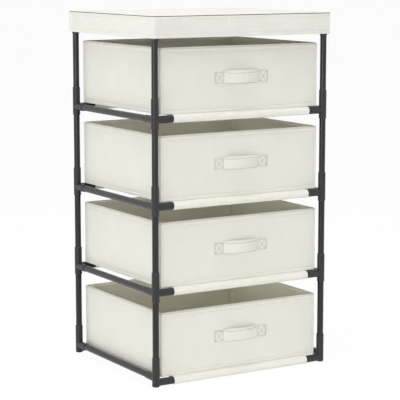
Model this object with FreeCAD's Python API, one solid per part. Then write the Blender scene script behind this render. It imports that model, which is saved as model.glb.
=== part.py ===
"""Fabric drawer dresser: a rack of steel tubes and moulded plastic connectors, four cloth shelves,
four open fabric drawers that slide forwards, and a fabric cover with a flat top.

Millimetres. The origin is on the floor, midway between the four posts. +X is to the right of someone
who faces the dresser, -Y is the front and +Z is up. Levels and drawers are numbered from the floor.
"""
import FreeCAD, Part
import os

from FreeCAD import Placement, Rotation, Vector

# Rack: post axes, levels and tubes
post_spacing_x = 430.0
post_spacing_y = 360.0
level_pitch = 185.0
shelf_count = 4
tube_d = 14.0
tube_wall = 0.8

# Moulded connectors
socket_clearance = 0.1
post_socket_wall = 1.2
arm_socket_wall = 1.0
mouth_bevel = 0.5
foot_bevel = 1.5
connector_h = 64.0
lower_socket_depth = 17.0
stop_wall = 4.0
arm_height = 19.4
arm_reach_x = 41.0
arm_reach_y = 36.0
arm_end_wall = 1.5
top_corner_h = 44.0
end_arm_clearance = 0.2
end_arm_step = 9.5

# Shelf cloths, doubled and sewn round the front and rear rails
cloth_t = 1.6
cloth_slack = 0.4
cloth_end_gap = 1.0

# Drawers, with their room beside the side rails and under the sleeves of the shelf above
drawer_side_gap = 7.5
drawer_headroom = 26.1
drawer_front_setback = 3.0
drawer_rear_setback = 6.0
drawer_skin = 1.2
drawer_corner_r = 4.0
hem_depth = 10.0
wall_board_t = 2.0
base_board_t = 3.0
board_gap = 0.3
base_board_gap = 0.5

# Handle straps
handle_length = 135.0
handle_height = 26.0
handle_patch = 24.0
handle_t = 2.0
handle_rise = 12.0
handle_bend_r = 6.0
handle_drop = 68.5

# Top cover and its board, with the cover's room round the top corners
cover_side_gap = 0.5
cover_front_gap = 4.5
cover_skirt = 47.0
cover_t = 1.2
cover_corner_r = 5.0
cover_bevel = 0.8
board_t = 5.0
board_edge_gap = 0.3

# Soft pieces and loose boards lie this far from what carries them
rest_gap = 0.3

tube_r = tube_d / 2
bore_r = tube_r + socket_clearance
post_socket_r = bore_r + post_socket_wall
arm_r = bore_r + arm_socket_wall
arm_stop = post_socket_r + arm_end_wall
upper_stop = lower_socket_depth + stop_wall
post_tube_length = level_pitch - stop_wall
cloth_bore_r = tube_r + cloth_slack
cloth_sleeve_r = cloth_bore_r + cloth_t
end_arm_inset = max(arm_r, cloth_sleeve_r) + end_arm_clearance
rack_top = shelf_count * level_pitch + top_corner_h
drawer_w = post_spacing_x - tube_d - 2 * drawer_side_gap
drawer_d = post_spacing_y - drawer_front_setback - drawer_rear_setback
drawer_h = level_pitch - 2 * cloth_sleeve_r - rest_gap - drawer_headroom
board_bottom = rack_top + rest_gap
cover_w = post_spacing_x + 2 * (post_socket_r + cover_side_gap + cover_t)
cover_d = post_spacing_y + 2 * (post_socket_r + cover_front_gap + cover_t)
cover_top = board_bottom + board_t + rest_gap + cover_t
levels = range(shelf_count)
UP = Vector(0, 0, 1)

corners = {
    "front_left": (-1, -1),
    "front_right": (1, -1),
    "rear_left": (-1, 1),
    "rear_right": (1, 1),
}


def level_floor(level):
    """Height of the underside of a level's connectors."""
    return level * level_pitch


def cross_rail_height(level):
    """Height of the axis of the rails that run from left to right."""
    if level == 0:
        return end_arm_inset
    if level == shelf_count:
        return rack_top - end_arm_inset
    return level_floor(level) + arm_height


def side_rail_height(level):
    """Height of the axis of the rails that run from front to rear."""
    if level == 0:
        return end_arm_inset + end_arm_step
    if level == shelf_count:
        return rack_top - end_arm_inset - end_arm_step
    return level_floor(level) + arm_height


def post_axis(corner, height):
    """Point on a corner's post axis."""
    side_x, side_y = corners[corner]
    return Vector(side_x * post_spacing_x / 2, side_y * post_spacing_y / 2, height)


def turned(profile):
    """Solid of revolution about Z from (radius, height) points."""
    points = [Vector(radius, 0, height) for radius, height in profile]
    points.append(points[0])
    face = Part.Face(Part.makePolygon(points))
    return face.revolve(Vector(0, 0, 0), UP, 360)


def aimed(shape, start, direction):
    """Move a shape that stands on the origin so that it points from start along direction."""
    shape.Placement = Placement(start, Rotation(UP, direction))
    return shape


def bevelled_bar(radius, length, low_bevel, high_bevel):
    """Round bar that stands on the origin, with a bevel at each end."""
    return turned([
        (0, 0),
        (radius - low_bevel, 0),
        (radius, low_bevel),
        (radius, length - high_bevel),
        (radius - high_bevel, length),
        (0, length),
    ])


def block(low, high):
    """Box between two corners."""
    size = high - low
    return Part.makeBox(size.x, size.y, size.z, low)


def centred_block(width, depth, centre_y, bottom, top):
    """Box centred on X = 0 and on centre_y."""
    low = Vector(-width / 2, centre_y - depth / 2, bottom)
    high = Vector(width / 2, centre_y + depth / 2, top)
    return block(low, high)


def round_upright_edges(shape, radius):
    """Round the vertical edges of a box."""
    upright = [e for e in shape.Edges if abs(e.tangentAt(e.FirstParameter).z) > 0.99]
    return shape.makeFillet(radius, upright)


# Connectors

def arm(hub, direction, reach):
    """Outside of a side socket: a round arm from the post axis to its mouth."""
    return aimed(bevelled_bar(arm_r, reach, mouth_bevel, mouth_bevel), hub, direction)


def arm_bore(hub, direction, reach):
    """Hole of a side socket, from its inner stop out through its mouth."""
    hole = Part.makeCylinder(bore_r, reach - arm_stop, Vector(0, 0, arm_stop))
    return aimed(hole, hub, direction)


def connector(corner, bottom, height, level, post_bores, low_bevel, high_bevel):
    """Moulded connector: an upright post sleeve with a side socket towards each neighbour."""
    side_x, side_y = corners[corner]
    arms = [
        (post_axis(corner, cross_rail_height(level)), Vector(-side_x, 0, 0), arm_reach_x),
        (post_axis(corner, side_rail_height(level)), Vector(0, -side_y, 0), arm_reach_y),
    ]
    sleeve = bevelled_bar(post_socket_r, height, low_bevel, high_bevel)
    body = aimed(sleeve, post_axis(corner, bottom), UP)
    body = body.fuse([arm(*each) for each in arms])
    holes = [arm_bore(*each) for each in arms]
    for low, high in post_bores:
        holes.append(Part.makeCylinder(bore_r, high - low, post_axis(corner, bottom + low)))
    return body.cut(holes).removeSplitter()


def foot(corner):
    """Bottom connector, closed underneath, with its front arm close to the floor."""
    return connector(corner, 0, connector_h, 0, [(upper_stop, connector_h)], foot_bevel, mouth_bevel)


def tier_connector(corner, level):
    """Connector between two levels, with a post socket below and above its stop wall."""
    bores = [(0, lower_socket_depth), (upper_stop, connector_h)]
    return connector(corner, level_floor(level), connector_h, level, bores, mouth_bevel, mouth_bevel)


def top_corner(corner):
    """Top connector, closed above, where the board rests."""
    bottom = level_floor(shelf_count)
    bores = [(0, lower_socket_depth)]
    return connector(corner, bottom, top_corner_h, shelf_count, bores, mouth_bevel, mouth_bevel)


# Tubes

def tube(start, direction, length):
    """Round steel tube from a start point along a direction."""
    outside = Part.makeCylinder(tube_r, length)
    inside = Part.makeCylinder(tube_r - tube_wall, length)
    return aimed(outside.cut(inside), start, direction)


def post_tubes(corner):
    """The equal tubes of one post, each between the stops of two connectors."""
    starts = [post_axis(corner, level_floor(level) + upper_stop) for level in levels]
    return Part.makeCompound([tube(start, UP, post_tube_length) for start in starts])


def cross_rails(level):
    """Front and rear tubes of a level, from left to right."""
    length = post_spacing_x - 2 * arm_stop
    rails = []
    for corner in ("front_left", "rear_left"):
        start = post_axis(corner, cross_rail_height(level)) + Vector(arm_stop, 0, 0)
        rails.append(tube(start, Vector(1, 0, 0), length))
    return Part.makeCompound(rails)


def side_rails(level):
    """Left and right tubes of a level, from front to rear."""
    length = post_spacing_y - 2 * arm_stop
    rails = []
    for corner in ("front_left", "front_right"):
        start = post_axis(corner, side_rail_height(level)) + Vector(0, arm_stop, 0)
        rails.append(tube(start, Vector(0, 1, 0), length))
    return Part.makeCompound(rails)


# Shelf cloths

def shelf_cloth(level):
    """Doubled cloth with a sewn sleeve round the front rail and another round the rear rail."""
    width = post_spacing_x - 2 * (arm_reach_x + cloth_end_gap)
    axis_z = cross_rail_height(level)
    top = axis_z + cloth_sleeve_r
    cloth = centred_block(width, post_spacing_y, 0, top - cloth_t, top)
    along = Vector(1, 0, 0)
    bores = []
    for side_y in (-1, 1):
        start = Vector(-width / 2, side_y * post_spacing_y / 2, axis_z)
        cloth = cloth.fuse(Part.makeCylinder(cloth_sleeve_r, width, start, along))
        bores.append(Part.makeCylinder(cloth_bore_r, width, start, along))
    return cloth.cut(bores).removeSplitter()


# Drawers

drawer_front = -post_spacing_y / 2 + drawer_front_setback
drawer_centre_y = drawer_front + drawer_d / 2
board_inset = drawer_skin + board_gap
flange_inset = board_inset + wall_board_t + board_gap


def drawer_floor(level):
    """Height of the underside of a drawer that stands on its shelf."""
    return cross_rail_height(level) + cloth_sleeve_r + rest_gap


def drawer_block(inset, bottom, top):
    """Box that keeps the same distance from the drawer's four outside walls."""
    width = drawer_w - 2 * inset
    depth = drawer_d - 2 * inset
    return centred_block(width, depth, drawer_centre_y, bottom, top)


def drawer_shell(level):
    """Open fabric box; its hem turns over the wall boards and down behind them."""
    bottom = drawer_floor(level)
    rim = bottom + drawer_h
    under_rim = rim - drawer_skin
    outside = round_upright_edges(drawer_block(0, bottom, rim), drawer_corner_r)
    pocket = round_upright_edges(
        drawer_block(drawer_skin, bottom + drawer_skin, under_rim),
        drawer_corner_r - drawer_skin,
    )
    mouth = drawer_block(flange_inset + drawer_skin, rim - hem_depth, rim)
    flange = drawer_block(flange_inset, rim - hem_depth, under_rim)
    flange = flange.cut(mouth)
    return outside.cut([pocket, mouth]).fuse(flange).removeSplitter()


def drawer_wall_boards(level):
    """Four stiffener boards, one inside each fabric wall, held down by the hem."""
    bottom = drawer_floor(level) + drawer_skin + board_gap
    top = drawer_floor(level) + drawer_h - drawer_skin - board_gap
    setback = max(drawer_corner_r, flange_inset)
    inner = drawer_block(board_inset + wall_board_t, bottom, top)
    ring = drawer_block(board_inset, bottom, top).cut(inner)
    front_rear = centred_block(drawer_w - 2 * setback, drawer_d, drawer_centre_y, bottom, top)
    sides = centred_block(drawer_w, drawer_d - 2 * setback, drawer_centre_y, bottom, top)
    return Part.makeCompound(ring.common(front_rear).Solids + ring.common(sides).Solids)


def drawer_base_board(level):
    """Loose stiff board on the drawer's floor."""
    bottom = drawer_floor(level) + drawer_skin + board_gap
    inset = board_inset + wall_board_t + base_board_gap
    return drawer_block(inset, bottom, bottom + base_board_t)


def strap_line(offset):
    """Edge of the strap seen from above: flat end, bowed middle, flat end.

    offset is the distance from the strap's back, and the bow is four arcs that meet in tangents.
    """
    half = handle_length / 2
    foot_x = half - handle_patch
    back_y = drawer_front - rest_gap
    flat_y = back_y - offset
    crown_y = flat_y - handle_rise
    both_radii = (foot_x ** 2 + handle_rise ** 2) / (2 * handle_rise)
    crown_r = both_radii - handle_bend_r + offset
    bend_r = handle_bend_r - offset
    bend_centre = Vector(-foot_x, back_y - handle_bend_r, 0)
    crown_centre = Vector(0, crown_y + crown_r, 0)
    turn = bend_centre - crown_centre
    joint = crown_centre + turn.normalize() * crown_r
    half_turn = (Vector(0, 1, 0) + (joint - bend_centre).normalize()).normalize()
    bend_mid = bend_centre + half_turn * bend_r
    return [
        Vector(-half, flat_y, 0),
        Vector(-foot_x, flat_y, 0),
        bend_mid,
        joint,
        Vector(0, crown_y, 0),
    ]


def mirrored(point):
    """The same point on the other side of X = 0."""
    return Vector(-point.x, point.y, point.z)


def strap_edges(offset):
    """Edges of one side of the strap, from its left end to its right end."""
    end, foot_point, bend_mid, joint, crown = strap_line(offset)
    return [
        Part.LineSegment(end, foot_point).toShape(),
        Part.Arc(foot_point, bend_mid, joint).toShape(),
        Part.Arc(joint, crown, mirrored(joint)).toShape(),
        Part.Arc(mirrored(joint), mirrored(bend_mid), mirrored(foot_point)).toShape(),
        Part.LineSegment(mirrored(foot_point), mirrored(end)).toShape(),
    ]


def drawer_handle(level):
    """Webbing strap, sewn flat at both ends and bowed out between them."""
    back = strap_edges(0)
    face = strap_edges(handle_t)
    left = Part.LineSegment(strap_line(0)[0], strap_line(handle_t)[0]).toShape()
    right = Part.LineSegment(mirrored(strap_line(0)[0]), mirrored(strap_line(handle_t)[0])).toShape()
    outline = Part.Wire(Part.__sortEdges__(back + [right] + face + [left]))
    middle = drawer_floor(level) + drawer_h - handle_drop
    strap = Part.Face(outline).extrude(Vector(0, 0, handle_height))
    strap.translate(Vector(0, 0, middle - handle_height / 2))
    return strap


# Top

def top_board():
    """Stiff board that lies on the top corners, inside the cover."""
    inset = cover_t + board_edge_gap
    board = centred_block(
        cover_w - 2 * inset, cover_d - 2 * inset, 0, board_bottom, board_bottom + board_t
    )
    return round_upright_edges(board, cover_corner_r - inset)


def top_cover():
    """Fabric cover over the board, with a skirt that hangs round the top of the rack."""
    skirt_bottom = cover_top - cover_skirt
    outside = centred_block(cover_w, cover_d, 0, skirt_bottom, cover_top)
    outside = round_upright_edges(outside, cover_corner_r)
    rim = [e for e in outside.Edges if min(v.Z for v in e.Vertexes) > cover_top - cover_bevel]
    outside = outside.makeChamfer(cover_bevel, rim)
    inside = centred_block(
        cover_w - 2 * cover_t, cover_d - 2 * cover_t, 0, skirt_bottom, cover_top - cover_t
    )
    return outside.cut(round_upright_edges(inside, cover_corner_r - cover_t))


def main():
    os.makedirs("parts", exist_ok=True)
    nodes = {}
    for corner in corners:
        nodes["foot_" + corner] = foot(corner)
        for level in levels[1:]:
            nodes[f"tier_connector_{corner}_{level}"] = tier_connector(corner, level)
        nodes["top_corner_" + corner] = top_corner(corner)
        nodes["post_tubes_" + corner] = post_tubes(corner)
    for level in levels:
        number = level + 1
        nodes[f"cross_rails_{number}"] = cross_rails(level)
        nodes[f"side_rails_{number}"] = side_rails(level)
        nodes[f"shelf_cloth_{number}"] = shelf_cloth(level)
        nodes[f"drawer_{number}_shell"] = drawer_shell(level)
        nodes[f"drawer_{number}_wall_boards"] = drawer_wall_boards(level)
        nodes[f"drawer_{number}_base_board"] = drawer_base_board(level)
        nodes[f"drawer_{number}_handle"] = drawer_handle(level)
    nodes["top_cross_rails"] = cross_rails(shelf_count)
    nodes["top_side_rails"] = side_rails(shelf_count)
    nodes["top_board"] = top_board()
    nodes["top_cover"] = top_cover()
    for name, shape in nodes.items():
        if not shape.isValid():
            raise ValueError(name + " is not a valid shape")
        shape.exportStep(f"parts/{name}.step")


main()
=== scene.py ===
"""Looks of the fabric drawer dresser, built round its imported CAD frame.

Metres, in the part's own frame: +X is to the right of someone who faces the dresser, -Y is its
front and +Z is up. Tubes, connectors and boards are the CAD's own solids with better materials.
Drawers, straps, shelf cloths and the top cover are sewn pieces that stand for plain CAD solids.
"""

import math

import bmesh
import bpy
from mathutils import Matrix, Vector, noise


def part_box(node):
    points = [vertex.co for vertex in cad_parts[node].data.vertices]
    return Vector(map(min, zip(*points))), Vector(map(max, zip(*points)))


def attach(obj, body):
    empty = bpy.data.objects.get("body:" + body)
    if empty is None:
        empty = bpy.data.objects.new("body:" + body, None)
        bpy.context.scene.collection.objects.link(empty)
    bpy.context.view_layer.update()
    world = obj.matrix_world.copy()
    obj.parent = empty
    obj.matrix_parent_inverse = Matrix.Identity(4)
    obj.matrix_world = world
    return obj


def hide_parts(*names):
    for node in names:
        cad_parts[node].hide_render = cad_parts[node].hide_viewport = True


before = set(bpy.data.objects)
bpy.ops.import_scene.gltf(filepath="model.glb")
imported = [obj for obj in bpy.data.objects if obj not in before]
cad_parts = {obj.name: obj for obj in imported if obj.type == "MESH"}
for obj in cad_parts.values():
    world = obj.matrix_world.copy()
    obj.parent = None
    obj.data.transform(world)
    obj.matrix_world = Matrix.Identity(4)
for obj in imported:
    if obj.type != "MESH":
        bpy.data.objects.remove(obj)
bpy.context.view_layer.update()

MM = 0.001
UP = Vector((0, 0, 1))
FRONT = Vector((0, -1, 0))
LEVELS = (1, 2, 3, 4)
EDGE_STEPS = 4

# Camera: place, turn from +Y towards +X, dip below the horizon, and lens with its sensor's width
CAMERA_PLACE = Vector((-1.8585, -3.0623, 0.9084))
CAMERA_TURN = math.radians(31.32)
CAMERA_DIP = math.radians(8.63)
CAMERA_LENS = 143.43
SENSOR_WIDTH = 36

# Drawers: outside, underside and floor
DRAWER_CORNER = 2.5 * MM
DRAWER_BOTTOM_EDGE = 0.5 * MM
DRAWER_SKIN = 1.2 * MM
WALL_COLUMN = 18 * MM
WALL_ROW = 9 * MM
UNDERSIDE_INSETS = (60 * MM, 20 * MM, 8 * MM)
FLOOR_INSETS = (20 * MM, 60 * MM)

# Drawers: bound rim, hem and lining. The lining meets the floor in FLOOR_BEND, as (inset, rise)
BINDING_HEIGHT = 4.2 * MM
BINDING_STEP = 0.3 * MM
ROW_UNDER_BINDING = 1.5 * MM
RIM_EDGE = 1.2 * MM
RIM_SAG = 0.9 * MM
HEM_WIDTH = 5 * MM
HEM_DEPTH = 10 * MM
HEM_EDGE_RISE = 0.5 * MM
HEM_EDGE_RUN = 0.4 * MM
LINING_INSET = 3.5 * MM
LINING_STEP = 0.1 * MM
LINING_FROM_HEM = 1 * MM
LINING_FROM_FLOOR = 2 * MM
LINING_ROW = 12 * MM
FLOOR_BEND = ((0.5 * MM, 0.4 * MM), (2 * MM, 0))

# Drawers: seams, and the crown and ripple of the walls
SEAM_FROM_UPRIGHT = 7 * MM
SEAM_FROM_RIM = 10.5 * MM
SEAM_FROM_BOTTOM = 7.5 * MM
SEAM_HALF_WIDTH = 0.8 * MM
LEVEL_SEAM_DEPTH = 0.8 * MM
UPRIGHT_SEAM_DEPTH = 0.35 * MM
WALL_CROWN = 0.4 * MM
CROWN_RUN = 25 * MM
WALL_RIPPLE = 0.2 * MM
RIPPLE_LEAD = 0.3
RIPPLE_SCALE = 22

# Stitches
STITCH_PITCH = 4 * MM
STITCH_SHARE = 0.8
THREAD_R = 0.3 * MM

# Handle straps: their line. BEND_TURN and CROWN_TURN are steps of its slope, in radians
STRAP_PATCH = 24 * MM
STRAP_RISE = 12 * MM
STRAP_BEND_R = 3 * MM
PATCH_STEP = 3 * MM
BEND_TURN = 0.12
CROWN_TURN = 0.06

# Handle straps: a rear layer that stands above the front one between the sewn ends
STRAP_BACK_T = 0.9 * MM
STRAP_FACE_T = 1.3 * MM
STRAP_SINK = 0.1 * MM
STRAP_LIP = 3 * MM
STRAP_FACE_DROP = 2.5 * MM
STRAP_LIP_RUN = 9 * MM
STRAP_ROWS = 12
REAR_LOW_INSET = 0.6 * MM
REAR_TOP_INSET = 0.4 * MM

# Handle straps: creases, and how fast they change along, between the layers and upwards
CREASE = 0.25 * MM
CREASE_RUN = 6 * MM
CREASE_ALONG = 90
CREASE_BETWEEN = 900
CREASE_UPWARD = 20

# Handle straps: stitches, whose thick grey edge rows also paint the shade lines along the strap's
# edges
STRAP_STITCH_PITCH = 2.4 * MM
STRAP_STITCH_INSET = 1 * MM
STRAP_THREAD_R = 0.52 * MM
BOX_STITCH_INSET = 2 * MM

# Shelf cloths
CLOTH_T = 1.6 * MM
CLOTH_SEAM_FROM_RAIL = 16 * MM
CLOTH_SEAM_INSET = 4 * MM
CLOTH_THREAD_R = 0.25 * MM
CLOTH_HEM = 24 * MM
CLOTH_HEM_GAP = 0.1 * MM
CLOTH_ROW = 20 * MM
CLOTH_COLUMN = 12 * MM
CLOTH_END_FLARE = 0.4 * MM
CLOTH_END_RUN = 5 * MM
CLOTH_END_COLUMNS = (0, 0.8 * MM, 1.6 * MM, 3 * MM, CLOTH_END_RUN)
CLOTH_RIPPLE = 0.25 * MM
CLOTH_RIPPLE_SCALE = 45
PANEL_MARGIN = 0.5 * MM
SLEEVE_STEPS = 21
FLOOR_CLEARANCE = 0.1 * MM

# Top cover: sizes and slack waves
COVER_T = 1.2 * MM
COVER_CORNER = 5 * MM
COVER_SEAM_DROP = 1.6 * MM
COVER_SEAM_R = 1.0 * MM
COVER_SEAM_DEPTH = 0.35 * MM
COVER_TOPSTITCH = 9 * MM
COVER_HEM = 8 * MM
COVER_HEM_EXTRA = 0.5 * MM
COVER_WAVE = 0.9 * MM
COVER_WAVE_LEAN = 0.4
COVER_WAVE_SCALE = 9
COVER_FINE = 0.15 * MM
COVER_FINE_SCALE = 70

# Top cover: rows of its panel and skirt. Bends and the groove for the cord are pairs (inset, drop)
PANEL_INSETS = (150 * MM, 100 * MM, 60 * MM, 30 * MM, 12 * MM, 5 * MM)
TOP_BEND = ((2.2 * MM, 0.1 * MM), (1.1 * MM, 0.3 * MM), (0.6 * MM, 0.7 * MM))
CORD_GROOVE = ((0.9 * MM, 0), (0.5 * MM, 0.6 * MM), (0.1 * MM, 1.3 * MM))
INNER_BEND = ((0.6 * MM, 0.5 * MM), (2 * MM, 0))
INNER_INSETS = (12 * MM, 40 * MM, 100 * MM, 150 * MM)
COVER_COLUMN = 9 * MM
CORNER_COLUMN = 4 * MM
FINE_SKIRT_ROW = 2 * MM
SKIRT_ROW = 3.5 * MM
SKIRT_FROM_CORD = 3 * MM
SKIRT_FROM_SEAM = 0.8 * MM
SKIRT_FROM_FOLD = 1.2 * MM
INNER_ROW = 6 * MM
INNER_FROM_HEM = 3 * MM
INNER_FROM_PANEL = 2 * MM
FOLD_STEPS = 5
CORD_TURN = 60

# Woven cloth: what slubs, weave and clouds add to its colour, and slubs and weave to its relief
SLUB_LENGTH = 45 * MM
SLUB_TONE = 0.9
WEAVE_TONE = 0.12
CLOUD_TONE = 0.6
LEAST_TONE = -0.7
SLUB_RELIEF = 0.8
WEAVE_RELIEF = 0.5

# Hardboard: how much its chips count beside its blotches
CHIP_SHARE = 0.4

# White surround: its glow at the horizon, how fast that falls upwards, and its least glow
HORIZON_GLOW = 2.34
GLOW_FALL = 4.0
LEAST_GLOW = 0.08

# Floor: its radius in metres, its sides, and how much of it shows as pure white
FLOOR_R = 45
FLOOR_SIDES = 96
FLOOR_WHITE = 0.96


# Mesh helpers

def new_piece(name, vertices, faces, materials, face_materials=None):
    """Smooth mesh object with its faces turned outwards."""
    mesh = bpy.data.meshes.new(name)
    mesh.from_pydata(vertices, [], faces)
    for material in materials:
        mesh.materials.append(material)
    if face_materials:
        mesh.polygons.foreach_set("material_index", face_materials)
    mesh.polygons.foreach_set("use_smooth", [True] * len(faces))
    shape = bmesh.new()
    shape.from_mesh(mesh)
    bmesh.ops.recalc_face_normals(shape, faces=shape.faces)
    shape.to_mesh(mesh)
    shape.free()
    piece = bpy.data.objects.new(name, mesh)
    bpy.context.scene.collection.objects.link(piece)
    return piece


def lofted(rings, closed_ring=True, looped=False):
    """Quads between neighbouring rings of equally many vertices."""
    count = len(rings[0])
    faces = []
    for row in range(len(rings) if looped else len(rings) - 1):
        low = row * count
        high = (row + 1) % len(rings) * count
        for column in range(count if closed_ring else count - 1):
            beside = (column + 1) % count
            faces.append((low + column, low + beside, high + beside, high + column))
    return faces


def capped(rings):
    """Quads between neighbouring rings, and a face over the first and the last."""
    count = len(rings[0])
    last = (len(rings) - 1) * count
    ends = [tuple(reversed(range(count))), tuple(range(last, last + count))]
    return lofted(rings) + ends


def flattened(rings):
    """All vertices of some rings, in one list."""
    return [vertex for ring in rings for vertex in ring]


def arc(centre, radius, start, end, steps):
    """Points of an arc in a plane, with its angles in degrees."""
    points = []
    for step in range(steps + 1):
        angle = math.radians(start + (end - start) * step / steps)
        points.append((centre[0] + radius * math.cos(angle), centre[1] + radius * math.sin(angle)))
    return points


def spaced(start, end, step):
    """Even values from start to end, about one step apart."""
    count = max(1, round(abs(end - start) / step))
    return [start + (end - start) * index / count for index in range(count + 1)]


def smooth(value):
    """0 below 0, 1 above 1, and an even curve between them."""
    value = min(max(value, 0.0), 1.0)
    return value * value * (3 - 2 * value)


def dip(distance, half_width):
    """1 on a line and near 0 a few half widths away from it."""
    return math.exp(-(distance / half_width) ** 2)


def finish_piece(piece, body, slot, *nodes):
    """Put a piece on its body and hide the CAD nodes that it stands for. The slot is not used."""
    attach(piece, body)
    if nodes:
        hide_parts(*nodes)


# Boxes of cloth: rounded rectangles seen from above, stacked into rings

CORNER_STEPS = 6
LEAST_CORNER = 0.5 * MM
SAG_RUN = 12 * MM


class BoxWall:
    """Four walls round a rounded rectangle, with vertex columns wherever the cloth needs them."""

    def __init__(self, low, high, corner, marks, step):
        self.centre = (low + high) / 2
        self.half = (high - low) / 2
        self.corner = corner
        self.columns = []
        for side in range(4):
            along = Vector((math.cos(side * math.pi / 2), math.sin(side * math.pi / 2)))
            out = Vector((along.y, -along.x))
            half = self.half_along(side)
            lead = [mark - half for mark in marks]
            places = lead + spaced(lead[-1], -lead[-1], step)[1:-1]
            places += [-place for place in reversed(lead)]
            for place in places:
                core = along * (place / (half - corner)) + out
                self.columns.append((core, out, half - abs(place)))
            for step_index in range(1, CORNER_STEPS):
                angle = step_index / CORNER_STEPS * math.pi / 2
                direction = out * math.cos(angle) + along * math.sin(angle)
                self.columns.append((along + out, direction, 0.0))

    def half_along(self, side):
        """Half the length of a side: 0 is the front, 1 the right, 2 the rear and 3 the left."""
        return self.half.x if side % 2 == 0 else self.half.y

    def ring(self, inset, height, relief=None, sag=0.0):
        """One ring of vertices. relief gives how far a place on the wall stands out.

        sag is how far the ring drops at its corners.
        """
        corner = max(self.corner - inset, LEAST_CORNER)
        vertices = []
        for core, out, edge in self.columns:
            x = self.centre.x + core.x * (self.half.x - inset - corner) + out.x * corner
            y = self.centre.y + core.y * (self.half.y - inset - corner) + out.y * corner
            place = Vector((x, y, height - sag * smooth(1 - edge / SAG_RUN)))
            if relief:
                place += Vector((out.x, out.y, 0)) * relief(place, edge)
            vertices.append(place)
        return vertices

    def point(self, side, along, height, lift, relief):
        """A point on a side's wall, lifted off it."""
        tangent = Vector((math.cos(side * math.pi / 2), math.sin(side * math.pi / 2), 0))
        out = Vector((tangent.y, -tangent.x, 0))
        depth = self.half.y if side % 2 == 0 else self.half.x
        place = Vector((self.centre.x, self.centre.y, height)) + tangent * along + out * depth
        edge = self.half_along(side) - abs(along)
        return place + out * (relief(place, edge) + lift)


# Stitches

GRAIN_RINGS = ((0.12, 0.6), (0.5, 1.0), (0.88, 0.6))
GRAIN_SIDES = 5


def grain(start, end, out, radius):
    """Vertices and faces of one stitch, a short bulging thread."""
    along = end - start
    beside = along.cross(out).normalized()
    out = beside.cross(along).normalized()
    vertices = [start]
    for share, width in GRAIN_RINGS:
        for side in range(GRAIN_SIDES):
            angle = 2 * math.pi * side / GRAIN_SIDES
            turn = beside * math.cos(angle) + out * math.sin(angle)
            vertices.append(start + along * share + turn * radius * width)
    vertices.append(end)
    last = len(vertices) - 1
    faces = []
    for side in range(GRAIN_SIDES):
        beside_it = (side + 1) % GRAIN_SIDES
        faces.append((0, 1 + beside_it, 1 + side))
        for ring in range(len(GRAIN_RINGS) - 1):
            low = 1 + ring * GRAIN_SIDES
            high = low + GRAIN_SIDES
            faces.append((low + side, low + beside_it, high + beside_it, high + side))
        top = 1 + (len(GRAIN_RINGS) - 1) * GRAIN_SIDES
        faces.append((top + side, top + beside_it, last))
    return vertices, faces


def stitching(name, grains, radius, material):
    """One piece of many stitches, each given by its start, end and outward direction."""
    vertices = []
    faces = []
    for start, end, out in grains:
        more, sides = grain(start, end, out, radius)
        faces += [tuple(index + len(vertices) for index in face) for face in sides]
        vertices += more
    return new_piece(name, vertices, faces, [material])


def stitch_places(length, pitch=STITCH_PITCH):
    """Start and end of each stitch along a seam of some length, from its middle."""
    count = max(1, int(length / pitch))
    first = -(count - 1) / 2 * pitch
    half = pitch * STITCH_SHARE / 2
    return [(first + index * pitch - half, first + index * pitch + half) for index in range(count)]


# Materials

def add(tree, kind, inputs=None, **settings):
    """New shader node with its settings, and its inputs set to values or linked to outputs."""
    node = tree.nodes.new("ShaderNode" + kind)
    for name, value in settings.items():
        setattr(node, name, value)
    for socket, value in (inputs or {}).items():
        if isinstance(value, bpy.types.NodeSocket):
            tree.links.new(value, node.inputs[socket])
        else:
            node.inputs[socket].default_value = value
    return node


def maths(tree, operation, *values):
    """Output of a Math node."""
    return add(tree, "Math", dict(enumerate(values)), operation=operation).outputs[0]


def linear(red, green, blue):
    """Linear colour with alpha from red, green and blue as they show on screen, 0 to 255."""
    def decoded(value):
        value /= 255
        return value / 12.92 if value <= 0.04045 else ((value + 0.055) / 1.055) ** 2.4
    return decoded(red), decoded(green), decoded(blue), 1.0


def new_material(name, uniform):
    """Material with a Principled shader, whose uniform values are set on its own sockets."""
    material = bpy.data.materials.new(name)
    material.use_nodes = True
    shader = material.node_tree.nodes["Principled BSDF"]
    for socket, value in uniform.items():
        shader.inputs[socket].default_value = value
    return material, material.node_tree, shader


def object_place(tree):
    """A place on the piece in its own frame, in metres."""
    return add(tree, "TexCoord").outputs["Object"]


def speckle(tree, place, scale, detail=2.0):
    """Even grey noise round 0.5 at some scale, in metres to the minus one."""
    settings = {"Vector": place, "Scale": scale, "Detail": detail}
    return add(tree, "TexNoise", settings).outputs["Fac"]


def cells(tree, place, scale, feature="F1"):
    """Distance in a pattern of cells at some scale, in metres to the minus one."""
    settings = {"Vector": place, "Scale": scale}
    return add(tree, "TexVoronoi", settings, feature=feature).outputs["Distance"]


def paint(tree, shader, factor, shade, colour):
    """Give a shader a colour that runs from shade to colour by a factor."""
    mix = add(tree, "Mix", {"Factor": factor}, data_type="RGBA")
    mix.inputs["A"].default_value = shade
    mix.inputs["B"].default_value = colour
    tree.links.new(mix.outputs["Result"], shader.inputs["Base Color"])


def emboss(tree, shader, height, strength, depth):
    """Give a shader a relief."""
    bump = add(tree, "Bump", {"Strength": strength, "Distance": depth, "Height": height})
    tree.links.new(bump.outputs[0], shader.inputs["Normal"])


def roughen(tree, shader, factor, span, least):
    """Give a shader a roughness of least, and up to span more by a factor."""
    tree.links.new(maths(tree, "MULTIPLY_ADD", factor, span, least), shader.inputs["Roughness"])


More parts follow.
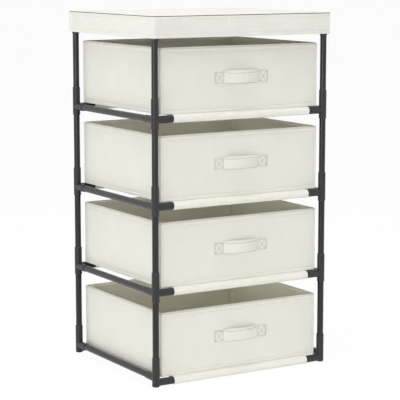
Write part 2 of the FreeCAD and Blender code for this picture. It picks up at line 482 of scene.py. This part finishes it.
def cloth_plane(tree):
    """Coordinates along a cloth in metres: the two axes across which its surface lies."""
    coordinates = add(tree, "TexCoord")
    place = add(tree, "SeparateXYZ", {0: coordinates.outputs["Object"]}).outputs
    facing = add(tree, "SeparateXYZ", {0: coordinates.outputs["Normal"]}).outputs
    size = [maths(tree, "ABSOLUTE", facing[axis]) for axis in range(3)]
    sideways = maths(tree, "GREATER_THAN", size[0], maths(tree, "MAXIMUM", size[1], size[2]))
    level = maths(tree, "GREATER_THAN", size[2], maths(tree, "MAXIMUM", size[0], size[1]))
    across = add(tree, "Mix", {"Factor": sideways, "A": place[0], "B": place[1]})
    upward = add(tree, "Mix", {"Factor": level, "A": place[2], "B": place[1]})
    return across.outputs["Result"], upward.outputs["Result"], coordinates.outputs["Object"]


def threads(tree, fine, coarse, width, length):
    """Streaks like slubs of yarn: short across the yarn and long along it."""
    place = add(tree, "CombineXYZ", {
        0: maths(tree, "DIVIDE", fine, width),
        1: maths(tree, "DIVIDE", coarse, length),
    })
    return speckle(tree, place.outputs[0], scale=1.0, detail=3.0)


def woven(name, colour, shade, pitch, slub, relief):
    """Plain-woven cloth: yarns over and under each other, with thicker slubs both ways."""
    material, tree, shader = new_material(name, {
        "Roughness": 0.9, "Sheen Weight": 0.12, "Sheen Roughness": 0.6,
    })
    across, upward, place = cloth_plane(tree)
    turns = 2 * math.pi / pitch
    warp = maths(tree, "SINE", maths(tree, "MULTIPLY", across, turns))
    weft = maths(tree, "SINE", maths(tree, "MULTIPLY", upward, turns))
    weave = maths(tree, "MULTIPLY", warp, weft)
    slubs = maths(
        tree, "ADD",
        threads(tree, across, upward, slub, SLUB_LENGTH),
        threads(tree, upward, across, slub, SLUB_LENGTH),
    )
    clouds = speckle(tree, place, scale=14.0)
    tone = maths(tree, "MULTIPLY_ADD", weave, WEAVE_TONE, LEAST_TONE)
    tone = maths(tree, "MULTIPLY_ADD", slubs, SLUB_TONE, tone)
    tone = maths(tree, "MULTIPLY_ADD", clouds, CLOUD_TONE, tone)
    paint(tree, shader, tone, shade, colour)
    height = maths(tree, "MULTIPLY", weave, WEAVE_RELIEF)
    height = maths(tree, "MULTIPLY_ADD", slubs, SLUB_RELIEF, height)
    emboss(tree, shader, height, strength=0.6, depth=relief)
    return material


def felted(name, colour, shade):
    """Non-woven lining: pressed fibres in every direction."""
    material, tree, shader = new_material(name, {"Roughness": 0.95, "Sheen Weight": 0.1})
    place = object_place(tree)
    fibres = cells(tree, place, scale=900.0, feature="DISTANCE_TO_EDGE")
    blotches = speckle(tree, place, scale=120.0, detail=4.0)
    paint(tree, shader, blotches, shade, colour)
    height = maths(tree, "ADD", fibres, blotches)
    emboss(tree, shader, height, strength=0.5, depth=0.1 * MM)
    return material


def thread(name, colour, shade):
    """Twisted sewing thread."""
    material, tree, shader = new_material(name, {"Roughness": 0.6, "Sheen Weight": 0.2})
    ply = speckle(tree, object_place(tree), scale=1500.0, detail=1.0)
    paint(tree, shader, ply, shade, colour)
    return material


def powder_coat(name, colour, shade):
    """Satin powder coat on steel tube, with the skin of fine orange peel that it dries to."""
    material, tree, shader = new_material(name, {"Specular IOR Level": 0.4})
    place = object_place(tree)
    peel = speckle(tree, place, scale=700.0, detail=1.0)
    dust = speckle(tree, place, scale=40.0, detail=3.0)
    paint(tree, shader, dust, shade, colour)
    roughen(tree, shader, dust, span=0.08, least=0.17)
    emboss(tree, shader, peel, strength=0.25, depth=0.05 * MM)
    return material


def moulded(name, colour, shade):
    """Moulded plastic with the fine spark-eroded grain of its tool."""
    material, tree, shader = new_material(name, {"Specular IOR Level": 0.4})
    place = object_place(tree)
    flow = speckle(tree, place, scale=55.0, detail=3.0)
    paint(tree, shader, flow, shade, colour)
    roughen(tree, shader, flow, span=0.12, least=0.3)
    emboss(tree, shader, cells(tree, place, scale=1600.0), strength=0.35, depth=0.06 * MM)
    return material


def fibreboard(name, colour, shade):
    """Hardboard of pressed chips."""
    material, tree, shader = new_material(name, {"Roughness": 0.8})
    place = object_place(tree)
    chips = cells(tree, place, scale=260.0)
    blotches = speckle(tree, place, scale=90.0, detail=5.0)
    mixed = maths(tree, "MULTIPLY_ADD", chips, CHIP_SHARE, blotches)
    paint(tree, shader, mixed, shade, colour)
    emboss(tree, shader, mixed, strength=0.3, depth=0.15 * MM)
    return material


drawer_cloth = woven(
    "drawer_cloth", linear(238, 237, 228), linear(226, 225, 214),
    pitch=0.8 * MM, slub=1.3 * MM, relief=0.1 * MM,
)
# Rim binding: the drawer cloth painted darker, as painted shade on the rim where it faces the shelf
# above.
binding_painted_shade = woven(
    "rim_binding_painted_shade", linear(219, 218, 208), linear(207, 206, 195),
    pitch=0.8 * MM, slub=1.3 * MM, relief=0.1 * MM,
)
cover_cloth = woven(
    "cover_cloth", linear(241, 240, 233), linear(226, 225, 216),
    pitch=0.9 * MM, slub=2.0 * MM, relief=0.16 * MM,
)
shelf_fabric = woven(
    "shelf_fabric", linear(243, 242, 234), linear(228, 227, 216),
    pitch=0.8 * MM, slub=1.5 * MM, relief=0.12 * MM,
)
strap_cloth = woven(
    "strap_cloth", linear(238, 237, 229), linear(224, 223, 213),
    pitch=0.8 * MM, slub=1.1 * MM, relief=0.12 * MM,
)
lining = felted("lining", linear(252, 249, 235), linear(249, 245, 228))
pale_thread = thread("pale_thread", linear(208, 206, 194), linear(188, 186, 174))
grey_thread = thread("grey_thread", linear(146, 141, 138), linear(126, 120, 118))
# The seam cord is a real cord, coloured near-black as painted shade for the recessed seam it lies
# in.
seam_cord_painted_shade = thread("seam_cord_painted_shade", linear(78, 78, 74), linear(60, 60, 56))
steel = powder_coat("black_powder_coat", linear(37, 37, 39), linear(31, 31, 33))
plastic = moulded("black_plastic", linear(44, 44, 46), linear(38, 38, 40))
hardboard = fibreboard("hardboard", linear(228, 223, 208), linear(210, 204, 188))


def dress_frame():
    """Give every CAD node a material. Those of cloth are replaced by sewn pieces later on."""
    prefixes = {
        "foot_": plastic,
        "tier_connector_": plastic,
        "top_corner_": plastic,
        "post_tubes_": steel,
        "cross_rails_": steel,
        "side_rails_": steel,
        "top_cross_rails": steel,
        "top_side_rails": steel,
        "top_board": hardboard,
    }
    for name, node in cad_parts.items():
        found = [material for prefix, material in prefixes.items() if name.startswith(prefix)]
        material = lining if name.endswith("_base_board") else (found or [drawer_cloth])[0]
        node.data.materials.clear()
        node.data.materials.append(material)


# Drawers

def drawer_relief(bottom, top):
    """How far a drawer's outer wall stands out: crowned panels inside a sewn frame of seams."""
    low_seam = bottom + SEAM_FROM_BOTTOM
    high_seam = top - SEAM_FROM_RIM

    def relief(place, edge):
        height = place.z
        inside = min(edge - SEAM_FROM_UPRIGHT, height - low_seam, high_seam - height)
        crown = WALL_CROWN * smooth(inside / CROWN_RUN)
        waves = noise.noise(place * RIPPLE_SCALE)
        ripple = WALL_RIPPLE * smooth(inside / CROWN_RUN + RIPPLE_LEAD) * waves
        if edge < SEAM_FROM_UPRIGHT - 2 * SEAM_HALF_WIDTH:
            return 0.0
        framed = low_seam - SEAM_HALF_WIDTH < height < high_seam + SEAM_HALF_WIDTH
        upright = dip(edge - SEAM_FROM_UPRIGHT, SEAM_HALF_WIDTH) if framed else 0.0
        level = dip(min(abs(height - low_seam), abs(height - high_seam)), SEAM_HALF_WIDTH)
        return crown + ripple - max(UPRIGHT_SEAM_DEPTH * upright, LEVEL_SEAM_DEPTH * level)

    return relief


def seam_rows(height):
    """Heights of the rows that shape a level seam."""
    return [height + share * SEAM_HALF_WIDTH for share in (-2, -1, 0, 1, 2)]


def drawer_profile(bottom, top):
    """Rows of a drawer's outside, then of its bound rim, then of its inside, as (inset, height)."""
    edge = DRAWER_BOTTOM_EDGE
    low_seam = seam_rows(bottom + SEAM_FROM_BOTTOM)
    high_seam = seam_rows(top - SEAM_FROM_RIM)
    between = spaced(low_seam[-1], high_seam[0], WALL_ROW)[1:-1]
    bound = top - BINDING_HEIGHT
    outside = [(inset, bottom) for inset in UNDERSIDE_INSETS]
    outside += arc((edge, bottom + edge), edge, 270, 180, EDGE_STEPS)
    outside += [(0, height) for height in low_seam + between + high_seam]
    outside += [(0, bound - ROW_UNDER_BINDING), (0, bound - BINDING_STEP)]
    rim = [(BINDING_STEP, bound), (BINDING_STEP, top - BINDING_HEIGHT / 2)]
    rim += arc((BINDING_STEP + RIM_EDGE, top - RIM_EDGE), RIM_EDGE, 180, 90, EDGE_STEPS)
    rim += arc((HEM_WIDTH - RIM_EDGE, top - RIM_EDGE), RIM_EDGE, 90, 0, EDGE_STEPS)
    hem = top - HEM_DEPTH
    floor = bottom + DRAWER_SKIN
    lining_rows = spaced(hem - LINING_FROM_HEM, floor + LINING_FROM_FLOOR, LINING_ROW)
    inside = [(HEM_WIDTH, top - HEM_DEPTH / 2), (HEM_WIDTH, hem + HEM_EDGE_RISE)]
    inside += [(HEM_WIDTH - HEM_EDGE_RUN, hem), (LINING_INSET + LINING_STEP, hem)]
    inside += [(LINING_INSET, height) for height in lining_rows]
    inside += [(LINING_INSET + inset, floor + rise) for inset, rise in FLOOR_BEND]
    inside += [(inset, floor) for inset in FLOOR_INSETS]
    return outside, rim, inside


def drawer_box(level):
    """Sewn fabric box over stiff boards: seamed outside, bound rim with its hem in painted shade,
    and lining.
    """
    low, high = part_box(f"drawer_{level}_shell")
    marks = [DRAWER_CORNER, *seam_rows(SEAM_FROM_UPRIGHT)]
    wall = BoxWall(low, high, DRAWER_CORNER, marks, WALL_COLUMN)
    relief = drawer_relief(low.z, high.z)
    outside, rim, inside = drawer_profile(low.z, high.z)
    rings = []
    for inset, height in outside + rim + inside:
        sag = RIM_SAG * smooth((height - high.z + HEM_DEPTH) / (HEM_DEPTH - BINDING_HEIGHT))
        rings.append(wall.ring(inset, height, relief if inset == 0 else None, sag))
    # Rows of the rim and the top of its hem take the darker binding, which is painted shade.
    row_materials = [0] * (len(outside) - 1) + [1] * len(rim) + [2] * len(inside)
    face_materials = [index for index in row_materials for column in wall.columns] + [0, 2]
    name = f"drawer_{level}_box"
    cloths = [drawer_cloth, binding_painted_shade, lining]
    piece = new_piece(name, flattened(rings), capped(rings), cloths, face_materials)
    body = f"drawer_{level}"
    finish_piece(piece, body, "drawer_fabric", f"{body}_shell", f"{body}_wall_boards")
    seams = stitching(f"{body}_seams", drawer_seams(wall, low, high, relief), THREAD_R, pale_thread)
    finish_piece(seams, body, "drawer_fabric")
    return wall, relief


def drawer_seams(wall, low, high, relief):
    """Stitches of the sewn frame on each of a drawer's four walls."""
    grains = []
    heights = (low.z + SEAM_FROM_BOTTOM, high.z - SEAM_FROM_RIM)
    middle = sum(heights) / 2
    for side in range(4):
        half = wall.half_along(side) - SEAM_FROM_UPRIGHT
        out = wall.point(side, 0, middle, 1, relief) - wall.point(side, 0, middle, 0, relief)
        for start, end in stitch_places(2 * half):
            for height in heights:
                ends = [wall.point(side, along, height, 0, relief) for along in (start, end)]
                grains.append((*ends, out))
        for start, end in stitch_places(heights[1] - heights[0]):
            for along in (-half, half):
                ends = [wall.point(side, along, middle + rise, 0, relief) for rise in (start, end)]
                grains.append((*ends, out))
    return grains


# Handle straps

def strap_line(half, rise):
    """Points (x, distance out, slope) along a strap: flat, bowed out by rise, and flat again."""
    foot = half - STRAP_PATCH
    both_radii = (foot ** 2 + rise ** 2) / (2 * rise)
    crown_r = both_radii - STRAP_BEND_R
    steepest = math.atan2(foot, both_radii - rise)
    left = [(x, 0.0, 0.0) for x in spaced(-half, -foot, PATCH_STEP)]
    for slope in spaced(0, steepest, BEND_TURN)[1:]:
        x = -foot + STRAP_BEND_R * math.sin(slope)
        left.append((x, STRAP_BEND_R * (1 - math.cos(slope)), slope))
    for slope in spaced(steepest, 0, CROWN_TURN)[1:-1]:
        left.append((-crown_r * math.sin(slope), rise - crown_r * (1 - math.cos(slope)), slope))
    crown = [(0.0, rise, 0.0)]
    return left + crown + [(-x, out, -slope) for x, out, slope in reversed(left)]


def strap_point(line, x):
    """Distance out and slope at x on a strap's line."""
    for here, there in zip(line, line[1:]):
        if here[0] <= x <= there[0]:
            share = (x - here[0]) / (there[0] - here[0])
            return [low + (high - low) * share for low, high in zip(here[1:], there[1:])]


def strap_normal(slope):
    """Direction out of a strap, where its line has some slope."""
    return Vector((-math.sin(slope), -math.cos(slope), 0))


def strap_section(low, high, thickness):
    """Outline of a strap's cross-section as (height, depth), with rounded long edges."""
    bend = thickness / 2
    step = (high - low - 2 * bend) / STRAP_ROWS
    rows = [low + bend + step * row for row in range(STRAP_ROWS + 1)]
    face = [(height, thickness) for height in rows]
    back = [(height, 0.0) for height in reversed(rows)]
    top = arc((high - bend, bend), bend, 90, -90, EDGE_STEPS)[1:-1]
    bottom = arc((low + bend, bend), bend, 270, 90, EDGE_STEPS)[1:-1]
    return face + top + back + bottom


def strap_layer(name, line, wall_y, middle, base, section_at):
    """One layer of a strap, lofted along its line. section_at gives the outline at each point."""
    rings = []
    for x, out, slope in line:
        normal = strap_normal(slope)
        foot = Vector((x, wall_y - out, middle))
        deepest = CREASE * smooth(out / CREASE_RUN)
        ring = []
        for height, depth in section_at(x):
            place = foot + normal * (base + depth) + UP * height
            spot = Vector((x * CREASE_ALONG, base * CREASE_BETWEEN, height * CREASE_UPWARD))
            ring.append(place + normal * (deepest * noise.noise(spot)))
        rings.append(ring)
    return new_piece(name, flattened(rings), capped(rings), [strap_cloth])


def drawer_strap(level, wall, relief):
    """Folded fabric strap, box-stitched at both ends; its rear layer stands above the front one."""
    body = f"drawer_{level}"
    low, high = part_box(f"{body}_handle")
    half = (high.x - low.x) / 2
    middle = (low.z + high.z) / 2
    half_height = (high.z - low.z) / 2
    wall_y = wall.point(0, 0, middle, 0, relief).y
    line = strap_line(half, STRAP_RISE)
    free = half - STRAP_PATCH

    def rear_section(x):
        lift = STRAP_LIP * smooth((free - abs(x)) / STRAP_LIP_RUN)
        top = half_height - REAR_TOP_INSET + lift
        return strap_section(REAR_LOW_INSET - half_height, top, STRAP_BACK_T)

    def face_drop(x):
        return STRAP_FACE_DROP * smooth((free - abs(x)) / STRAP_LIP_RUN)

    def face_section(x):
        return strap_section(-half_height, half_height - face_drop(x), STRAP_FACE_T)

    rear = strap_layer(f"{body}_strap_rear", line, wall_y, middle, -STRAP_SINK, rear_section)
    finish_piece(rear, body, "handle_webbing")
    face = strap_layer(f"{body}_strap", line, wall_y, middle, STRAP_BACK_T, face_section)
    finish_piece(face, body, "handle_webbing", f"{body}_handle")
    surface = wall_y - STRAP_BACK_T - STRAP_FACE_T
    grains = []
    # Rows of stitches along both long edges: real stitching, whose thick grey thread also paints
    # the shade lines along the strap and under it.
    for ends in stitch_places(2 * free, STRAP_STITCH_PITCH):
        low_edge, high_edge = [], []
        for x in ends:
            out, slope = strap_point(line, x)
            normal = strap_normal(slope)
            place = Vector((x, wall_y - out, middle)) + normal * (STRAP_BACK_T + STRAP_FACE_T)
            low_edge.append(place + UP * (STRAP_STITCH_INSET - half_height))
            high_edge.append(place + UP * (half_height - face_drop(x) - STRAP_STITCH_INSET))
        grains += [(*low_edge, normal), (*high_edge, normal)]
    for side in (-1, 1):
        centre = Vector((side * (half - STRAP_PATCH / 2), surface, middle))
        half_width = STRAP_PATCH / 2 - BOX_STITCH_INSET
        grains += box_stitches(centre, half_width, half_height - BOX_STITCH_INSET)
    thread_piece = stitching(f"{body}_strap_stitches", grains, STRAP_THREAD_R, grey_thread)
    finish_piece(thread_piece, body, "handle_webbing")


def box_stitches(centre, half_width, half_height):
    """A box of stitches with a cross in it, on a patch that faces the front."""
    signs = ((-1, -1), (1, -1), (1, 1), (-1, 1))
    corners = [Vector((x * half_width, 0, z * half_height)) for x, z in signs]
    runs = [(corners[index], corners[(index + 1) % 4]) for index in range(4)]
    runs += [(corners[0], corners[2]), (corners[1], corners[3])]
    grains = []
    for start, end in runs:
        along = (end - start).normalized()
        for low, high in stitch_places((end - start).length, STRAP_STITCH_PITCH):
            middle = centre + (start + end) / 2
            grains.append((middle + along * low, middle + along * high, FRONT))
    return grains


# Shelf cloths

def sleeve_line(axis_y, axis_z, top, side):
    """Outer line of the cloth round one rail as (y, z), from its hem to where it meets the top."""
    sleeve_r = top - axis_z
    hem_rise = sleeve_r - 2 * CLOTH_T - CLOTH_HEM_GAP
    reach = math.hypot(CLOTH_SEAM_FROM_RAIL, hem_rise)
    seam_angle = math.degrees(math.atan2(hem_rise, CLOTH_SEAM_FROM_RAIL))
    touch_angle = seam_angle - math.degrees(math.acos(sleeve_r / reach))
    points = [(CLOTH_HEM, hem_rise), (CLOTH_SEAM_FROM_RAIL, hem_rise)]
    points += arc((0, 0), sleeve_r, touch_angle, -270, SLEEVE_STEPS)
    return [(axis_y - side * across, axis_z + rise) for across, rise in points]


def cloth_rings(line, low, high, axis_y):
    """Vertices across a shelf cloth at each point of its line, rippled where it rounds a rail."""
    ends = [low.x + run for run in CLOTH_END_COLUMNS]
    columns = ends + spaced(ends[-1], -ends[-1], CLOTH_COLUMN)[1:-1] + [-x for x in reversed(ends)]
    rings = []
    for index, (y, z) in enumerate(line):
        before, after = line[max(index - 1, 0)], line[min(index + 1, len(line) - 1)]
        run = Vector((0, after[0] - before[0], after[1] - before[1])).normalized()
        out = Vector((0, -run.z, run.y))
        round_rail = abs(y) > axis_y + PANEL_MARGIN or z < high.z - PANEL_MARGIN
        ring = []
        for x in columns:
            place = Vector((x, y, z))
            if round_rail:
                flare = CLOTH_END_FLARE * smooth(1 - (x - low.x) / CLOTH_END_RUN)
                flare += CLOTH_END_FLARE * smooth(1 - (high.x - x) / CLOTH_END_RUN)
                ripple = CLOTH_RIPPLE * noise.noise(place * CLOTH_RIPPLE_SCALE)
                place += out * (flare + ripple)
                place.z = max(place.z, FLOOR_CLEARANCE)
            ring.append(place)
        rings.append(ring)
    return rings


def shelf_sheet(level):
    """Cloth shelf: one sheet with a sleeve sewn round each of its two rails."""
    node = f"shelf_cloth_{level}"
    low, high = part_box(node)
    rail_low, rail_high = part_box(f"cross_rails_{level}")
    axis_z = (rail_low.z + rail_high.z) / 2
    rail_r = (rail_high.z - rail_low.z) / 2
    axis_y = rail_high.y - rail_r
    front = sleeve_line(-axis_y, axis_z, high.z, -1)
    rear = sleeve_line(axis_y, axis_z, high.z, 1)
    panel = [(y, high.z) for y in spaced(-axis_y, axis_y, CLOTH_ROW)[1:-1]]
    line = front + panel + list(reversed(rear))
    rings = cloth_rings(line, low, high, axis_y)
    faces = lofted(rings, closed_ring=False)
    piece = new_piece(f"shelf_sheet_{level}", flattened(rings), faces, [shelf_fabric])
    thicken = piece.modifiers.new("cloth thickness", "SOLIDIFY")
    thicken.thickness = CLOTH_T
    thicken.offset = -1
    finish_piece(piece, "rack", "shelf_cloth", node)
    grains = []
    for start, end in stitch_places(high.x - low.x - 2 * CLOTH_SEAM_INSET):
        for side in (-1, 1):
            y = side * (axis_y - CLOTH_SEAM_FROM_RAIL)
            grains.append((Vector((start, y, high.z)), Vector((end, y, high.z)), UP))
    seams = stitching(f"shelf_sheet_{level}_seams", grains, CLOTH_THREAD_R, pale_thread)
    finish_piece(seams, "rack", "shelf_cloth")


# Top cover

def cover_relief(bottom, top):
    """How far the cover's skirt stands out: slack waves that grow towards its free lower edge."""
    seams = (bottom + COVER_HEM, top - COVER_TOPSTITCH)

    def relief(place, edge):
        share = smooth((top - place.z) / (top - bottom))
        around = Vector((place.x * COVER_WAVE_SCALE, place.y * COVER_WAVE_SCALE, 0))
        wave = COVER_WAVE * share * (noise.noise(around) + COVER_WAVE_LEAN)
        fine = COVER_FINE * noise.noise(place * COVER_FINE_SCALE)
        from_seam = min(abs(place.z - seam) for seam in seams)
        return wave + fine - COVER_SEAM_DEPTH * dip(from_seam, SEAM_HALF_WIDTH)

    return relief


def cover_rings(wall, relief, bottom, top, seam):
    """The cover from the middle of its top panel, down its skirt, round its hem and back inside."""
    outside = [(inset, top) for inset in PANEL_INSETS]
    outside += [(inset, top - drop) for inset, drop in TOP_BEND]
    outside += [(inset, seam - drop) for inset, drop in CORD_GROOVE]
    topstitch = list(reversed(seam_rows(top - COVER_TOPSTITCH)))
    hem_seam = list(reversed(seam_rows(bottom + COVER_HEM)))
    skirt = spaced(seam - SKIRT_FROM_CORD, topstitch[0] + MM, FINE_SKIRT_ROW) + topstitch
    skirt += spaced(topstitch[-1] - MM, hem_seam[0] + MM, SKIRT_ROW) + hem_seam
    skirt += spaced(hem_seam[-1] - SKIRT_FROM_SEAM, bottom + SKIRT_FROM_FOLD, FINE_SKIRT_ROW)
    hem = COVER_T + COVER_HEM_EXTRA
    hem_top = bottom + COVER_HEM
    panel = top - COVER_T
    under = arc((hem / 2, bottom + hem / 2), hem / 2, 200, 340, FOLD_STEPS)
    inside = [(hem, hem_top - MM), (COVER_T, hem_top)]
    inner_rows = spaced(hem_top + INNER_FROM_HEM, panel - INNER_FROM_PANEL, INNER_ROW)
    inside += [(COVER_T, height) for height in inner_rows]
    inside += [(COVER_T + inset, panel - drop) for inset, drop in INNER_BEND]
    inside += [(inset, panel) for inset in INNER_INSETS]
    rings = [wall.ring(inset, height) for inset, height in outside]
    rings += [wall.ring(0, height, relief) for height in skirt]
    rings += [wall.ring(inset, height, relief) for inset, height in under]
    for inset, height in inside:
        rings.append(wall.ring(inset, height, relief if inset <= hem else None))
    return rings


def cover_cloth_piece():
    """Fitted cover: a top panel, a seam with a dark cord in it that also paints the seam's shade,
    and a hemmed skirt.
    """
    low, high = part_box("top_cover")
    top, bottom = high.z, low.z
    marks = [COVER_CORNER, COVER_CORNER + CORNER_COLUMN]
    wall = BoxWall(low, high, COVER_CORNER, marks, COVER_COLUMN)
    relief = cover_relief(bottom, top)
    seam = top - COVER_SEAM_DROP
    rings = cover_rings(wall, relief, bottom, top, seam)
    piece = new_piece("top_cover_cloth", flattened(rings), capped(rings), [cover_cloth])
    finish_piece(piece, "top_cover", "cover_fabric", "top_cover")
    cord = seam_ring(wall, COVER_SEAM_R, seam)
    finish_piece(cord, "top_cover", "cover_fabric")
    grains = []
    for side in range(4):
        straight = wall.half_along(side) - COVER_CORNER
        out = wall.point(side, 0, top, 1, relief) - wall.point(side, 0, top, 0, relief)
        for start, end in stitch_places(2 * straight):
            for height in (bottom + COVER_HEM, top - COVER_TOPSTITCH):
                ends = [wall.point(side, along, height, 0, relief) for along in (start, end)]
                grains.append((*ends, out))
    stitches = stitching("top_cover_stitches", grains, THREAD_R, pale_thread)
    finish_piece(stitches, "top_cover", "cover_fabric")


def seam_ring(wall, inset, height):
    """Thin cord that lies in the seam round the cover's top, dark enough to paint the shade in the
    seam.
    """
    rings = []
    for angle in range(0, 360, CORD_TURN):
        turn = math.radians(angle)
        depth = inset + COVER_SEAM_R * math.cos(turn)
        rings.append(wall.ring(depth, height + COVER_SEAM_R * math.sin(turn)))
    return new_piece("top_cover_seam", flattened(rings), lofted(rings, looped=True), [seam_cord_painted_shade])


# Stage

def seen_share(tree):
    """1 for camera, glossy and transmission rays, and 0 for the rays that only carry light."""
    rays = add(tree, "LightPath").outputs
    seen = maths(tree, "MAXIMUM", rays["Is Camera Ray"], rays["Is Glossy Ray"])
    return maths(tree, "MAXIMUM", seen, rays["Is Transmission Ray"])


def floor_material():
    """Pale floor that shows white to the camera and keeps the object's soft shadow."""
    material, tree, shader = new_material("floor", {"Roughness": 0.9, "Specular IOR Level": 0.0})
    patches = speckle(tree, object_place(tree), scale=3.0)
    paint(tree, shader, patches, linear(248, 248, 248), linear(251, 251, 251))
    white = add(tree, "Emission", {"Color": (1, 1, 1, 1), "Strength": 1.0})
    share = maths(tree, "MULTIPLY", seen_share(tree), FLOOR_WHITE)
    mix = add(tree, "MixShader", {0: share, 1: shader.outputs[0], 2: white.outputs[0]})
    tree.links.new(mix.outputs[0], tree.nodes["Material Output"].inputs["Surface"])
    return material


def make_floor():
    """Large round floor just under the feet."""
    shape = bmesh.new()
    bmesh.ops.create_circle(shape, cap_ends=True, segments=FLOOR_SIDES, radius=FLOOR_R)
    mesh = bpy.data.meshes.new("floor")
    shape.to_mesh(mesh)
    shape.free()
    mesh.materials.append(floor_material())
    floor = bpy.data.objects.new("floor", mesh)
    bpy.context.scene.collection.objects.link(floor)


def make_lamp(name, place, target, size, power):
    """Square soft lamp that looks at a point."""
    lamp = bpy.data.lights.new(name, "AREA")
    lamp.size = size
    lamp.energy = power
    holder = bpy.data.objects.new(name, lamp)
    holder.location = place
    holder.rotation_euler = (target - place).to_track_quat("-Z", "Y").to_euler()
    bpy.context.scene.collection.objects.link(holder)


def make_light():
    """White surround, brightest at the horizon, with a soft lamp on the left and another above.

    A small third lamp draws the thin highlight down the glossy posts.
    """
    world = bpy.data.worlds.new("studio")
    bpy.context.scene.world = world
    world.use_nodes = True
    tree = world.node_tree
    tree.nodes.clear()
    upward = add(tree, "SeparateXYZ", {0: add(tree, "TexCoord").outputs["Generated"]}).outputs[2]
    glow = maths(tree, "MULTIPLY_ADD", upward, -GLOW_FALL, HORIZON_GLOW)
    glow = maths(tree, "MAXIMUM", glow, LEAST_GLOW)
    strength = add(tree, "Mix", {"Factor": seen_share(tree), "A": glow, "B": 1.0})
    background = add(tree, "Background", {
        "Color": (1, 1, 1, 1), "Strength": strength.outputs["Result"],
    })
    output = add(tree, "OutputWorld")
    tree.links.new(background.outputs[0], output.inputs["Surface"])
    middle = Vector((0, 0, 0.4))
    make_lamp("side", Vector((-4.0, -0.8, 1.8)), middle, size=2.0, power=12)
    make_lamp("top", Vector((-0.6, -0.6, 4.4)), middle, size=2.5, power=122)
    make_lamp("highlight", Vector((-3.38, -2.1, 0.4)), middle, size=0.6, power=14)


def make_camera():
    """Camera at the reference picture's place and angle."""
    data = bpy.data.cameras.new("camera")
    data.lens = CAMERA_LENS
    data.sensor_width = SENSOR_WIDTH
    camera = bpy.data.objects.new("camera", data)
    camera.location = CAMERA_PLACE
    camera.rotation_euler = (math.pi / 2 - CAMERA_DIP, 0, -CAMERA_TURN)
    bpy.context.scene.collection.objects.link(camera)
    bpy.context.scene.camera = camera


dress_frame()
for level in LEVELS:
    drawer_wall, drawer_surface = drawer_box(level)
    drawer_strap(level, drawer_wall, drawer_surface)
    shelf_sheet(level)
cover_cloth_piece()
make_floor()
make_light()
make_camera()
bpy.context.scene.view_settings.view_transform = "Standard"
